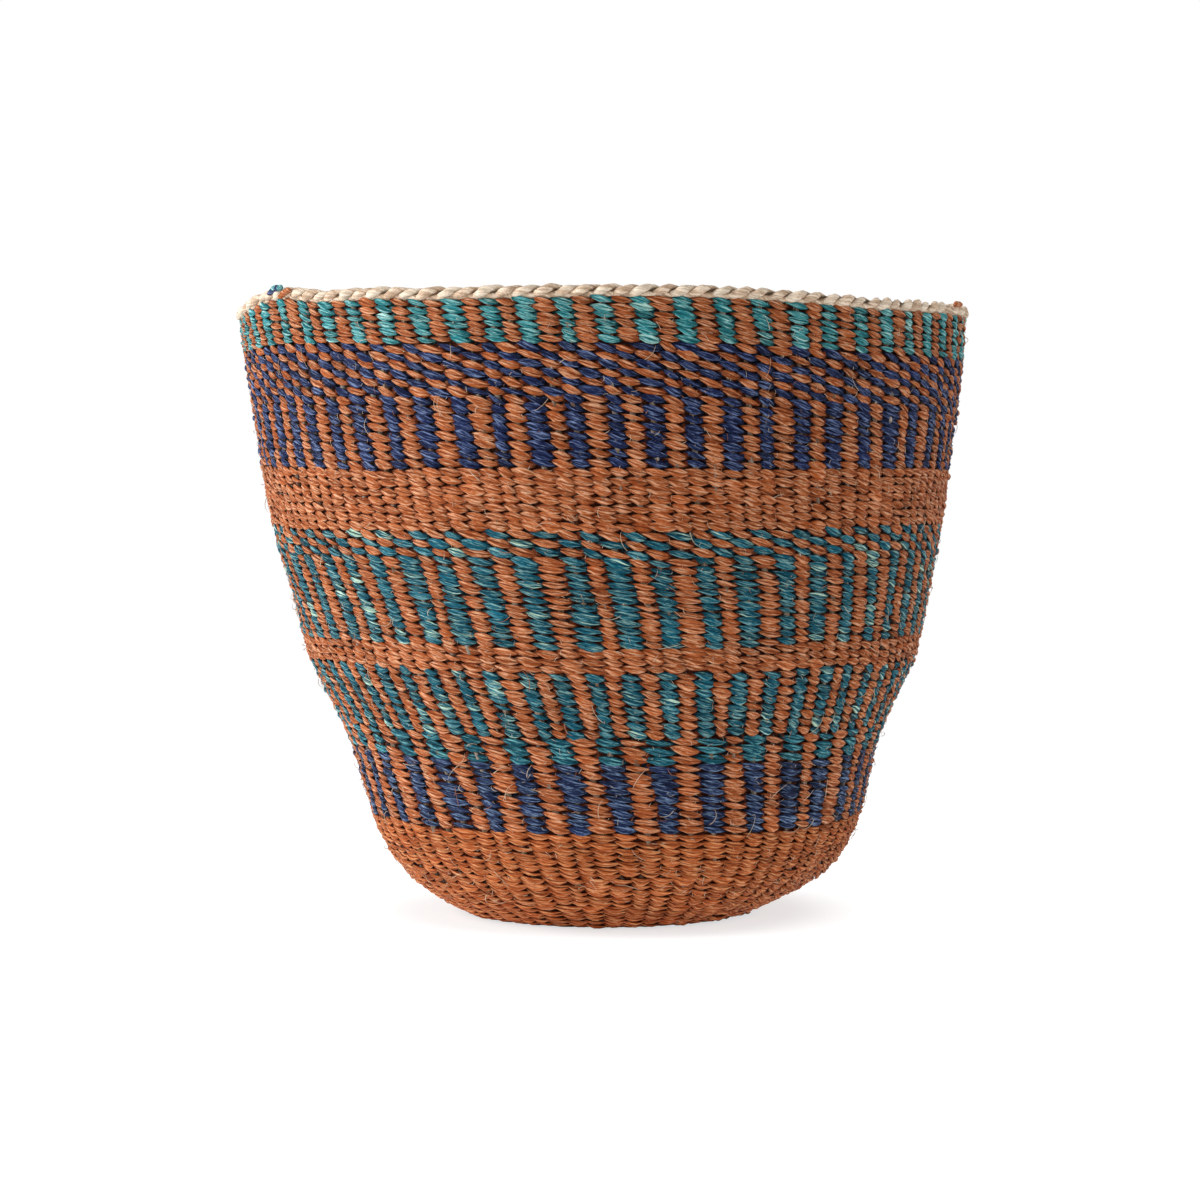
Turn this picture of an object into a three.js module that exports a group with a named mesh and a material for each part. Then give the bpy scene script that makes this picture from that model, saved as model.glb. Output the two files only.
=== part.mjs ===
// Twined sisal basket with a flat base and striped bands, standing on its base.
// Millimetres, +Z up. Angles run round the wall from the front (-Y) towards +X.
import * as THREE from "three";
import { mergeVertices } from "three/addons/utils/BufferGeometryUtils.js";

// The wall, the base and the rim
const wallThickness = 5;
const clearance = 0.3;
const startRadius = 11;
const footRadius = 53.5;
const footFlare = 19;
const footLift = 4.2;
const footRise = 22;
const rimCordWidth = 6.4;
const rimCordHeight = 4;
const rimSeat = 0.5;

// Each band's height, counted from the floor up
const lowerPlainHeight = 40.3;
const lowerNavyHeight = 26.7;
const coarseTealHeight = 10.1;
const fineTealHeight = 25.1;
const narrowPlainHeight = 9.2;
const middleTealHeight = 30.1;
const middleDashHeight = 12.7;
const widePlainHeight = 22.2;
const upperNavyHeight = 22.7;
const upperDashHeight = 21.8;
const topTealHeight = 16.6;

// The outside radius at the top of each band
const lowerPlainRadius = 98.6;
const lowerNavyRadius = 105.6;
const coarseTealRadius = 109.6;
const fineTealRadius = 121.2;
const narrowPlainRadius = 123.3;
const middleTealRadius = 131.1;
const middleDashRadius = 133.7;
const widePlainRadius = 137.4;
const upperNavyRadius = 140.4;
const upperDashRadius = 142.8;
const topTealRadius = 144.4;

// The stripes: pairs of columns round each band, and how the coloured stitches sit in the wall
const coarsePairs = 38;
const finePairs = 58;
const middlePairs = 53;
const upperPairs = 60;
const topPairs = 62;
const stripeShare = 0.5;
const stripeDepth = 2.4;
const columnLean = THREE.MathUtils.degToRad(10);
const tieCourse = 1.4;

// How the hand-made wall strays from true: its middle drifts to the right lower down, the upper
// courses tilt to the right, and the rim waves. A drift point is a height and a shift, and a
// wave point is an angle in degrees and a lift.
const wallDrift = [
  [0, 2],
  [20, 5],
  [60, 5.2],
  [120, 4],
  [150, 2],
  [235, 0],
];
const courseTiltHeight = 2.6;
const tiltFromHeight = 150;
const tiltToHeight = 215;
const waveToHeight = 234;
const rimWave = [
  [-90, -5.2],
  [-74, -4.3],
  [-56, 0.3],
  [-46, -1.4],
  [-25, -2.2],
  [-11, -0.3],
  [14, 0.9],
  [44, 0.3],
  [56, 0.3],
  [68, -1.2],
  [84, -1.6],
  [105, 0.2],
  [140, -0.6],
  [185, 0.8],
  [230, -1.4],
];

// Loose yarn ends at the rim
const tailRadius = 1.3;
const tailLength = 12;
const tailKnotAngle = -57;
const tailKnotRise = 1.3;
const tailKnotSpacing = 2.9;
const tailRightAngle = 71;

// Facets
const roundSegments = 54;
const footSegments = 6;
const footInnerSegments = 4;
const cordSides = 8;
const tailSides = 6;
const tailSteps = 6;

const colours = {
  terracotta: 0xb8693f,
  navy: 0x2f3a72,
  teal: 0x2f8f93,
  natural: 0xd6bd95,
};

// Heights of the seams between bands, from the floor up
const lowerPlainTop = lowerPlainHeight;
const lowerNavyTop = lowerPlainTop + lowerNavyHeight;
const coarseTealTop = lowerNavyTop + coarseTealHeight;
const fineTealTop = coarseTealTop + fineTealHeight;
const narrowPlainTop = fineTealTop + narrowPlainHeight;
const middleTealTop = narrowPlainTop + middleTealHeight;
const middleDashTop = middleTealTop + middleDashHeight;
const widePlainTop = middleDashTop + widePlainHeight;
const upperNavyTop = widePlainTop + upperNavyHeight;
const upperDashTop = upperNavyTop + upperDashHeight;
const topTealTop = upperDashTop + topTealHeight;

const wallStations = [
  [lowerPlainTop, lowerPlainRadius],
  [lowerNavyTop, lowerNavyRadius],
  [coarseTealTop, coarseTealRadius],
  [fineTealTop, fineTealRadius],
  [narrowPlainTop, narrowPlainRadius],
  [middleTealTop, middleTealRadius],
  [middleDashTop, middleDashRadius],
  [widePlainTop, widePlainRadius],
  [upperNavyTop, upperNavyRadius],
  [upperDashTop, upperDashRadius],
  [topTealTop, topTealRadius],
];

// A smooth curve through stations of [place, value], with the slope at each from its neighbours.
function smoothThrough(stations, place) {
  const last = stations.length - 1;
  const slopeAt = (i) => {
    const [x0, y0] = stations[Math.max(i - 1, 0)];
    const [x1, y1] = stations[Math.min(i + 1, last)];
    return (y1 - y0) / (x1 - x0);
  };
  const x = THREE.MathUtils.clamp(place, stations[0][0], stations[last][0]);
  let i = 0;
  while (i < last - 1 && x > stations[i + 1][0]) i++;
  const [x0, y0] = stations[i];
  const [x1, y1] = stations[i + 1];
  const span = x1 - x0;
  const t = (x - x0) / span;
  const bend = t * (1 - t) * span;
  const ease = t * t * (3 - 2 * t);
  return y0 + (y1 - y0) * ease + bend * ((1 - t) * slopeAt(i) - t * slopeAt(i + 1));
}

const wallRadius = (z) => smoothThrough(wallStations, z);

// The rim's wave, closed by repeating its ends one turn on
const waveRing = [
  ...rimWave.slice(-2).map(([angle, lift]) => [angle - 360, lift]),
  ...rimWave,
  ...rimWave.slice(0, 2).map(([angle, lift]) => [angle + 360, lift]),
];

function courseLift(angle, z) {
  const degrees = THREE.MathUtils.radToDeg(angle);
  const turned = THREE.MathUtils.euclideanModulo(degrees - rimWave[0][0], 360) + rimWave[0][0];
  const tilted = THREE.MathUtils.smoothstep(z, tiltFromHeight, tiltToHeight);
  const waved = THREE.MathUtils.smoothstep(z, tiltToHeight, waveToHeight);
  return smoothThrough(waveRing, turned) * waved - courseTiltHeight * Math.sin(angle) * tilted;
}

const centreShift = (z) => smoothThrough(wallDrift, z);

// A point of the basket from its angle, radius and height, with the wall's hand-made strays.
function placePoint(angle, radius, z) {
  return new THREE.Vector3(
    centreShift(z) + radius * Math.sin(angle),
    -radius * Math.cos(angle),
    z + courseLift(angle, z),
  );
}

const evenAngles = (count) => Array.from({ length: count }, (_, i) => (i * 2 * Math.PI) / count);

// Collects the triangles of one solid, with corners anticlockwise seen from outside.
class SolidFaces {
  corners = [];

  triangle(a, b, c) {
    this.corners.push(a, b, c);
  }

  quad(a, b, c, d) {
    this.triangle(a, b, c);
    this.triangle(a, c, d);
  }

  // A band between two loops with as many points; it faces out of the ring, or in if asked.
  band(lower, upper, facesIn = false) {
    lower.forEach((point, i) => {
      const next = (i + 1) % lower.length;
      if (facesIn) this.quad(point, upper[i], upper[next], lower[next]);
      else this.quad(point, lower[next], upper[next], upper[i]);
    });
  }

  // The top or bottom of a ring, between its outline and its hole. The outline has as many points
  // to each column, and the hole has one.
  lid(outline, hole, facesUp) {
    const perColumn = outline.length / hole.length;
    const face = (a, b, c) => (facesUp ? this.triangle(a, b, c) : this.triangle(a, c, b));
    outline.forEach((point, i) => {
      face(point, outline[(i + 1) % outline.length], hole[Math.floor(i / perColumn)]);
    });
    hole.forEach((point, i) => {
      const next = (i + 1) % hole.length;
      face(point, outline[next * perColumn], hole[next]);
    });
  }

  geometry() {
    const made = new THREE.BufferGeometry().setFromPoints(this.corners);
    return mergeVertices(made, 1e-4);
  }
}

// The middle of each coloured column at a height: columns lean to the right going down.
function stripeCentres(pairs, z, seam) {
  const lean = (Math.tan(columnLean) * (seam - z)) / wallRadius(seam);
  return evenAngles(pairs).map((angle) => angle + lean);
}

const stripeHalfWidth = (pairs) => (stripeShare * Math.PI) / pairs;

// The outer outline of a wall with a V-shaped flute for each coloured column.
function flutedLoop(pairs, z, seam, room) {
  const radius = wallRadius(z);
  const half = stripeHalfWidth(pairs);
  const slope = stripeDepth / (radius * half);
  const side = (room * Math.hypot(1, slope)) / slope / radius;
  const depth = stripeDepth + room * Math.hypot(1, slope);
  return stripeCentres(pairs, z, seam).flatMap((centre) => [
    placePoint(centre - half - side, radius, z),
    placePoint(centre, radius - depth, z),
    placePoint(centre + half + side, radius, z),
  ]);
}

// The inside of the wall at a height, with a point behind the middle of each coloured column.
function insideLoop(centres, z) {
  return centres.map((angle) => placePoint(angle, wallRadius(z) - wallThickness, z));
}

// A band of ground weft: a through-wall ring with flutes that take the coloured stitches.
function groundBand({ heights, pairs, seam }) {
  const faces = new SolidFaces();
  const outer = heights.map((z) => flutedLoop(pairs, z, seam, clearance));
  const inner = heights.map((z) => insideLoop(stripeCentres(pairs, z, seam), z));
  for (let i = 1; i < heights.length; i++) {
    faces.band(outer[i - 1], outer[i]);
    faces.band(inner[i - 1], inner[i], true);
  }
  faces.lid(outer[0], inner[0], false);
  faces.lid(outer.at(-1), inner.at(-1), true);
  return faces.geometry();
}

// A coloured weft: a through-wall ring whose fingers lie in the flutes of the ground beside it.
function stripedWeft({ ringBottom, ringTop, fingerEnd, pairs, seam }) {
  const faces = new SolidFaces();
  const hanging = fingerEnd < ringBottom;
  const root = hanging ? ringBottom : ringTop;
  const far = hanging ? ringTop : ringBottom;
  const rootSection = flutedLoop(pairs, root, seam, 0);
  const endSection = flutedLoop(pairs, fingerEnd, seam, 0);
  const rootEdge = rootSection.filter((_, i) => i % 3 !== 1);
  const centres = stripeCentres(pairs, root, seam);
  const farEdge = centres.flatMap((centre) =>
    [-1, 1].map((side) =>
      placePoint(centre + side * stripeHalfWidth(pairs), wallRadius(far), far),
    ),
  );
  const rootInner = insideLoop(centres, root);
  const farInner = insideLoop(centres, far);

  if (hanging) {
    faces.band(rootEdge, farEdge);
    faces.band(rootInner, farInner, true);
  } else {
    faces.band(farEdge, rootEdge);
    faces.band(farInner, rootInner, true);
  }
  faces.lid(farEdge, farInner, hanging);
  faces.lid(rootSection, rootInner, !hanging);

  for (let i = 0; i < rootSection.length; i += 3) {
    const atRoot = rootSection.slice(i, i + 3);
    const atEnd = endSection.slice(i, i + 3);
    const [lower, upper] = hanging ? [atEnd, atRoot] : [atRoot, atEnd];
    faces.quad(lower[0], lower[2], upper[2], upper[0]);
    faces.quad(lower[1], lower[0], upper[0], upper[1]);
    faces.quad(lower[2], lower[1], upper[1], upper[2]);
    if (hanging) faces.triangle(atEnd[0], atEnd[1], atEnd[2]);
    else faces.triangle(atEnd[0], atEnd[2], atEnd[1]);
  }
  return faces.geometry();
}

// A plain turned ring or disc, with its profile of [radius, height] and the wall's strays.
function turned(profile) {
  const points = profile.map(([radius, z]) => new THREE.Vector2(radius, z));
  const made = new THREE.LatheGeometry([...points, points[0]], roundSegments);
  made.rotateX(Math.PI / 2);
  made.deleteAttribute("normal");
  made.deleteAttribute("uv");
  const position = made.getAttribute("position");
  for (let i = 0; i < position.count; i++) {
    const [x, y, z] = [position.getX(i), position.getY(i), position.getZ(i)];
    const placed = placePoint(Math.atan2(x, -y), Math.hypot(x, y), z);
    position.setXYZ(i, placed.x, placed.y, placed.z);
  }
  return mergeVertices(made, 1e-4);
}

function plainBand(bottom, top) {
  return turned([
    [wallRadius(bottom) - wallThickness, bottom],
    [wallRadius(bottom), bottom],
    [wallRadius(top), top],
    [wallRadius(top) - wallThickness, top],
  ]);
}

// The lowest band: it leaves the flat base at a low slope and turns up into the wall.
function footBand() {
  const top = lowerPlainTop - clearance / 2;
  const edge = footRadius + clearance;
  const climb = (lowerNavyRadius - lowerPlainRadius) / lowerNavyHeight;
  const curve = (inset, lift) =>
    new THREE.CubicBezierCurve(
      new THREE.Vector2(edge, lift),
      new THREE.Vector2(footRadius + footFlare - inset, footLift + lift),
      new THREE.Vector2(lowerPlainRadius - climb * footRise - inset, top - footRise),
      new THREE.Vector2(lowerPlainRadius - inset, top),
    );
  const outside = curve(0, 0).getPoints(footSegments);
  const inside = curve(wallThickness, wallThickness).getPoints(footInnerSegments);
  return turned([...outside, ...inside.reverse()].map((point) => [point.x, point.y]));
}

function baseDisc() {
  const hole = startRadius + clearance;
  return turned([
    [hole, 0],
    [footRadius, 0],
    [footRadius, wallThickness],
    [hole, wallThickness],
  ]);
}

function baseStart() {
  return turned([
    [0, 0],
    [startRadius, 0],
    [startRadius, wallThickness],
    [0, wallThickness],
  ]);
}

const rimCordRadius = topTealRadius - wallThickness / 2;
const rimCordMiddle = topTealTop + rimSeat + rimCordHeight / 2;

function rimCord() {
  const section = evenAngles(cordSides).map((angle) => [
    rimCordRadius + (Math.cos(angle) * rimCordWidth) / 2,
    rimCordMiddle + (Math.sin(angle) * rimCordHeight) / 2,
  ]);
  return turned(section);
}

// A short yarn end that lies against the outside of the rim, at a height above the cord's middle.
function yarnTail(angleDegrees, rise) {
  const z = rimCordMiddle + rise;
  const backing = Math.max(rimCordRadius + rimCordWidth / 2, wallRadius(z - tailRadius));
  const away = backing + clearance + tailRadius;
  const middle = THREE.MathUtils.degToRad(angleDegrees);
  const half = tailLength / 2 / away;
  const ends = [-half, 0, half].map((turn) => placePoint(middle + turn, away, z));
  const outline = new THREE.Shape(
    evenAngles(tailSides).map(
      (angle) =>
        new THREE.Vector2(Math.cos(angle) * tailRadius, Math.sin(angle) * tailRadius),
    ),
  );
  const made = new THREE.ExtrudeGeometry(outline, {
    steps: tailSteps,
    extrudePath: new THREE.CatmullRomCurve3(ends),
  });
  made.deleteAttribute("normal");
  made.deleteAttribute("uv");
  return mergeVertices(made, 1e-4);
}

function sisal(name, geometry, colour) {
  const material = new THREE.MeshStandardMaterial({ color: colour, roughness: 0.8, metalness: 0 });
  material.name = name;
  const mesh = new THREE.Mesh(geometry, material);
  mesh.name = name;
  return mesh;
}

const seam = clearance / 2;
const { terracotta, navy, teal, natural } = colours;

const pieces = [
  sisal("base_start", baseStart(), natural),
  sisal("base_weave", baseDisc(), terracotta),
  sisal("lower_plain_band", footBand(), terracotta),
  sisal(
    "lower_navy_weft",
    stripedWeft({
      ringBottom: lowerPlainTop + seam,
      ringTop: lowerPlainTop + tieCourse,
      fingerEnd: lowerNavyTop - seam,
      pairs: coarsePairs,
      seam: coarseTealTop,
    }),
    navy,
  ),
  sisal(
    "coarse_ground_band",
    groundBand({
      heights: [
        lowerPlainTop + tieCourse + clearance,
        lowerNavyTop,
        coarseTealTop - tieCourse - clearance,
      ],
      pairs: coarsePairs,
      seam: coarseTealTop,
    }),
    terracotta,
  ),
  sisal(
    "coarse_teal_weft",
    stripedWeft({
      ringBottom: coarseTealTop - tieCourse,
      ringTop: coarseTealTop - seam,
      fingerEnd: lowerNavyTop + seam,
      pairs: coarsePairs,
      seam: coarseTealTop,
    }),
    teal,
  ),
  sisal(
    "fine_teal_weft",
    stripedWeft({
      ringBottom: coarseTealTop + seam,
      ringTop: coarseTealTop + tieCourse,
      fingerEnd: fineTealTop - seam,
      pairs: finePairs,
      seam: fineTealTop,
    }),
    teal,
  ),
  sisal(
    "fine_ground_band",
    groundBand({
      heights: [coarseTealTop + tieCourse + clearance, fineTealTop - seam],
      pairs: finePairs,
      seam: fineTealTop,
    }),
    terracotta,
  ),
  sisal("narrow_plain_band", plainBand(fineTealTop + seam, narrowPlainTop - seam), terracotta),
  sisal(
    "middle_ground_band",
    groundBand({
      heights: [narrowPlainTop + seam, middleTealTop - seam],
      pairs: middlePairs,
      seam: middleTealTop,
    }),
    terracotta,
  ),
  sisal(
    "middle_teal_weft",
    stripedWeft({
      ringBottom: middleTealTop + seam,
      ringTop: middleDashTop - seam,
      fingerEnd: narrowPlainTop + seam,
      pairs: middlePairs,
      seam: middleTealTop,
    }),
    teal,
  ),
  sisal("wide_plain_band", plainBand(middleDashTop + seam, widePlainTop - seam), terracotta),
  sisal(
    "upper_ground_band",
    groundBand({
      heights: [widePlainTop + seam, upperNavyTop - seam],
      pairs: upperPairs,
      seam: upperNavyTop,
    }),
    terracotta,
  ),
  sisal(
    "upper_navy_weft",
    stripedWeft({
      ringBottom: upperNavyTop + seam,
      ringTop: upperDashTop - seam,
      fingerEnd: widePlainTop + seam,
      pairs: upperPairs,
      seam: upperNavyTop,
    }),
    navy,
  ),
  sisal(
    "top_ground_band",
    groundBand({
      heights: [upperDashTop + seam, topTealTop - tieCourse - clearance],
      pairs: topPairs,
      seam: topTealTop,
    }),
    terracotta,
  ),
  sisal(
    "top_teal_weft",
    stripedWeft({
      ringBottom: topTealTop - tieCourse,
      ringTop: topTealTop,
      fingerEnd: upperDashTop + seam,
      pairs: topPairs,
      seam: topTealTop,
    }),
    teal,
  ),
  sisal("rim_cord", rimCord(), natural),
  sisal("tail_teal", yarnTail(tailKnotAngle, tailKnotRise), teal),
  sisal("tail_navy", yarnTail(tailKnotAngle, tailKnotRise - tailKnotSpacing), navy),
  sisal(
    "tail_terracotta_left",
    yarnTail(tailKnotAngle, tailKnotRise - 2 * tailKnotSpacing),
    terracotta,
  ),
  sisal("tail_terracotta_right", yarnTail(tailRightAngle, 0), terracotta),
];

// The origin is the middle of the basket's outside box, on the floor.
const basket = new THREE.Group();
basket.add(...pieces);
const outside = new THREE.Box3().setFromObject(basket);
const middle = outside.getCenter(new THREE.Vector3());
basket.position.set(-middle.x, -middle.y, -outside.min.z);

const root = new THREE.Group();
root.add(basket);
export default root;
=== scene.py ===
import math

import bmesh
import bpy
import numpy as np
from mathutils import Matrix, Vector


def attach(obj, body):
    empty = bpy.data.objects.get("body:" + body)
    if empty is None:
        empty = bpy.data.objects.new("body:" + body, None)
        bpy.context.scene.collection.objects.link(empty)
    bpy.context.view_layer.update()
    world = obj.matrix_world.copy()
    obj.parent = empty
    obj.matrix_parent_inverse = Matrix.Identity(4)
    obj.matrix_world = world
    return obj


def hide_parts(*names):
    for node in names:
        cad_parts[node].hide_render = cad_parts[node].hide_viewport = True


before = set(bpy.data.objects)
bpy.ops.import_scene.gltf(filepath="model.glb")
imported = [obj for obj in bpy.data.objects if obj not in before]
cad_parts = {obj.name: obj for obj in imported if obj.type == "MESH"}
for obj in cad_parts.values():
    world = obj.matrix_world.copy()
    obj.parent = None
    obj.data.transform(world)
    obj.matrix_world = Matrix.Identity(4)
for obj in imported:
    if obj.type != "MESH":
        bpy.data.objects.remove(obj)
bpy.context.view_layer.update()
millimetre = 0.001
random = np.random.default_rng(7)


# A dictionary of named rows, whose values come under the same keys
def table(keys, rows):
    return {name: dict(zip(keys.split(), values)) for name, values in rows.items()}


# The wall's shape, as in the CAD model but for the rim's small wave: the flat foot, its rounded
# corner, the tilt and the wave that set in towards the rim, and the points along the profile
wall = {
    "thickness": 5.0,
    "footRadius": 53.5,
    "footFlare": 19.0,
    "footLift": 4.2,
    "footRise": 22.0,
    "tilt": 2.6,
    "tiltFrom": 150.0,
    "tiltTo": 215.0,
    "waveTo": 234.0,
    "flatPoints": 60,
    "cornerPoints": 120,
    "sidePoints": 500,
    "pastTop": 4.0,
}
footLength = wall["footRadius"]  # where the flat underside ends, along the profile

# Each band from the floor up: its height and the wall's outside radius at its top
bandSizes = {
    "lowerPlain": (40.3, 98.6),
    "lowerNavy": (26.7, 105.6),
    "coarseTeal": (10.1, 109.6),
    "fineTeal": (25.1, 121.2),
    "narrowPlain": (9.2, 123.3),
    "middleTeal": (30.1, 131.1),
    "middleDash": (12.7, 133.7),
    "widePlain": (22.2, 137.4),
    "upperNavy": (22.7, 140.4),
    "upperDash": (21.8, 142.8),
    "topTeal": (16.6, 144.4),
}

# How far the wall's middle stands to the right at each height
wallDrift = [(0, 2), (20, 5), (60, 5.2), (120, 4), (150, 2), (235, 0)]

# How far the rim is lifted at each angle in degrees
rimWave = [
    (-90, -5.2), (-74, -4.5), (-66, -1.5), (-56, 0.4), (-46, -1.5), (-36, -0.9),
    (-25, -1.3), (-11, -0.3), (14, 0.9), (30, 0.3), (44, -0.5), (56, 0),
    (66, 0.2), (84, 0.5), (105, 0.6), (140, -0.6), (185, 0.8), (230, -1.4),
]

# Slow waves of handwork: how far each swings, how often it goes round, its turn over a millimetre
# of wall, and its start. They fade out over a stretch at the foot, and the wander also at the rim.
swellWaves = [(0.35, 3, 0.031, 0.4), (0.3, 7, -0.052, 2.1), (0.22, 13, 0.12, 4.0)]
wanderWaves = [(0.5, 2, 0.02, 1.1), (0.4, 5, -0.04, 0.0), (0.25, 11, 0.09, 2.0)]
waveFades = {"swellAtFoot": 40.0, "wanderAtFoot": 30.0, "wanderAtRim": 25.0}


# A smooth curve through stations of a place and a value
def smoothThrough(stations, place):
    x, y = np.array(stations, float).T
    place = np.clip(place, x[0], x[-1])
    before = np.maximum(np.arange(len(x)) - 1, 0)
    after = np.minimum(np.arange(len(x)) + 1, len(x) - 1)
    slope = (y[after] - y[before]) / (x[after] - x[before])
    i = np.clip(np.searchsorted(x, place, side="right") - 1, 0, len(x) - 2)
    span = x[i + 1] - x[i]
    t = (place - x[i]) / span
    bend = t * (1 - t) * span * ((1 - t) * slope[i] - t * slope[i + 1])
    return y[i] + (y[i + 1] - y[i]) * t * t * (3 - 2 * t) + bend


# From 0 at the low value to 1 at the high one
def smoothStep(value, low, high):
    t = np.clip((value - low) / (high - low), 0, 1)
    return t * t * (3 - 2 * t)


seams = {}
wallStations = []
reached = 0.0
for bandName, (bandHeight, bandRadius) in bandSizes.items():
    seams[bandName] = (reached, reached + bandHeight)
    reached += bandHeight
    wallStations.append((reached, bandRadius))
wallTop = reached


# Points along the curve that four points pull
def bezier(points, count):
    t = np.linspace(0, 1, count)[:, None]
    a, b, c, d = (np.array(p, float) for p in points)
    return a * (1 - t) ** 3 + 3 * b * t * (1 - t) ** 2 + 3 * c * t**2 * (1 - t) + d * t**3


# The outside from the middle of the base to the rim: length along it, radius, height, normal
def outsideProfile():
    footTop = seams["lowerPlain"][1]
    widening = (bandSizes["lowerNavy"][1] - bandSizes["lowerPlain"][1]) / bandSizes["lowerNavy"][0]
    across = np.linspace(0, footLength, wall["flatPoints"])
    flat = np.column_stack([across, 0 * across])
    corner = bezier(
        [
            (footLength, 0),
            (footLength + wall["footFlare"], wall["footLift"]),
            (bandSizes["lowerPlain"][1] - widening * wall["footRise"], footTop - wall["footRise"]),
            (bandSizes["lowerPlain"][1], footTop),
        ],
        wall["cornerPoints"],
    )
    heights = np.linspace(footTop, wallTop + wall["pastTop"], wall["sidePoints"])
    side = np.column_stack([smoothThrough(wallStations, heights), heights])
    points = np.vstack([flat, corner[1:], side[1:]])
    steps = np.hypot(*np.diff(points, axis=0).T)
    length = np.concatenate([[0], np.cumsum(steps)])
    tangent = np.gradient(points, length, axis=0)
    tangent /= np.hypot(*tangent.T)[:, None]
    return {
        "length": length,
        "radius": points[:, 0],
        "height": points[:, 1],
        "outX": tangent[:, 1],
        "outZ": -tangent[:, 0],
    }


profile = outsideProfile()


def onProfile(length, key):
    return np.interp(length, profile["length"], profile[key])


def lengthAtHeight(height):
    flatEnd = wall["flatPoints"] - 1
    return np.interp(height, profile["height"][flatEnd:], profile["length"][flatEnd:])


# The wave of the rim, closed by repeating its ends one turn on
waveRing = (
    [(a - 360, lift) for a, lift in rimWave[-2:]]
    + rimWave
    + [(a + 360, lift) for a, lift in rimWave[:2]]
)


# How far the rim's tilt and wave lift a place on the wall
def courseLift(angle, height):
    first = rimWave[0][0]
    degrees = np.mod(np.degrees(angle) - first, 360) + first
    tilt = -wall["tilt"] * np.sin(angle) * smoothStep(height, wall["tiltFrom"], wall["tiltTo"])
    wave = smoothThrough(waveRing, degrees) * smoothStep(height, wall["tiltTo"], wall["waveTo"])
    return tilt + wave


def waveSum(waves, angle, length):
    total = 0.0
    for swing, often, rate, start in waves:
        total = total + swing * np.sin(often * angle + rate * length + start)
    return total


# How far the hand-made wall swells in and out
def handWobble(angle, length):
    fade = smoothStep(length, footLength, footLength + waveFades["swellAtFoot"])
    return fade * waveSum(swellWaves, angle, length)


# World points, from length along the profile, angle, and how far they stand out from the wall's
# middle surface
def placeOnWall(length, angle, proud):
    out = proud - wall["thickness"] / 2 + handWobble(angle, length)
    radius = onProfile(length, "radius") + out * onProfile(length, "outX")
    height = onProfile(length, "height") + out * onProfile(length, "outZ")
    shift = smoothThrough(wallDrift, height)
    x = shift + radius * np.sin(angle)
    y = -radius * np.cos(angle)
    z = height + courseLift(angle, height)
    # The underside is pressed flat where it rests
    return np.stack([x, y, np.maximum(z, 0)], axis=-1)


# The columns: how many pairs of them go round, the angle of a coloured one in degrees at a height,
# how far in degrees they lean to the right going down, and how some of them crowd: angles on the
# wall with the shift of the columns there, in degrees
columnSets = table("pairs middle height lean crowd", {
    "footInner": (27, 0.4, 10.0, 9.0),
    "footMiddle": (33, 0.6, 24.0, 9.0),
    "coarse": (38, 0.7, 52.0, 9.0, [(-150, 0), (0, 0), (35, 2.2), (65, 2), (170, 0)]),
    "fine": (58, -2.8, 88.0, 8.0, [(-150, 0), (0, 0.3), (35, 2), (65, 1.6), (170, 0)]),
    "middle": (
        53, 2.2, 125.0, 7.0,
        [(-150, 0), (-50, -1.6), (-22, -1.8), (0, 0), (35, 0.9), (170, 0)],
    ),
    "upper": (
        60, 1.4, 186.0, 5.0,
        [(-150, 0), (-40, 1), (-12, 0.9), (10, 0), (40, 0.5), (65, 2.2), (170, 0)],
    ),
    "top": (
        62, 0.5, 228.0, 10.0,
        [(-150, 0), (-25, 1), (0, 0), (40, 0.5), (65, 1.2), (170, 0)],
    ),
})

# Each band's columns and courses, how far its stitches slope, in courses, the dye of its coloured
# yarn and whether that shows as dashes, how much larger the stitches are than their places, so that
# they pack tightly, and how far they sag, in courses
bands = table("columns courses slope dye dashes pack sag", {
    "footInner": ("footInner", 7, 0.22, None, False, 1.11, 0.6),
    "footMiddle": ("footMiddle", 5, 0.22, None, False, 1.11, 0.6),
    "lowerPlain": ("coarse", 7, 0.24, None, False, 1.08, 0.5),
    "lowerNavy": ("coarse", 9, 0.3, "duskNavy"),
    "coarseTeal": ("coarse", 3, 0.3, "deepTeal"),
    "fineTeal": ("fine", 8, 0.3, "seaTeal"),
    "narrowPlain": ("middle", 3, 0.32, None, False, 1.12),
    "middleTeal": ("middle", 11, 0.33, "seaTeal"),
    "middleDash": ("middle", 4, 0.44, "seaTeal", True),
    "widePlain": ("upper", 7, 0.28, None, False, 1.15),
    "upperNavy": ("upper", 7, 0.36, "navy"),
    "upperDash": ("upper", 7, 0.48, "navy", True),
    "topTeal": ("top", 6, 0.36, "brightTeal"),
})
usualSag = 0.08
usualPack = 1.0

# The lower plain band gains columns as it widens: each stretch as shares of its length
plainStretches = {"footInner": (0, 0.4), "footMiddle": (0.4, 0.69), "lowerPlain": (0.69, 1)}


# Where a band begins and ends along the profile
def bandSpan(bandName):
    if bandName in plainStretches:
        top = lengthAtHeight(seams["lowerPlain"][1])
        return [footLength + share * (top - footLength) for share in plainStretches[bandName]]
    return [lengthAtHeight(height) for height in seams[bandName]]


# Hand-made unevenness: of the columns' edges as shares of a column, their sway over a length in
# millimetres, of the courses in millimetres, and of each stitch's height, length and slope as
# shares, its stand and sag in millimetres and its spin in radians
uneven = {
    "edge": 0.07,
    "sway": 0.06,
    "swayLength": 9.0,
    "course": 0.2,
    "high": 0.13,
    "long": 0.07,
    "stand": 0.18,
    "spin": 0.4,
    "slope": 0.18,
    "sag": 0.08,
}

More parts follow.
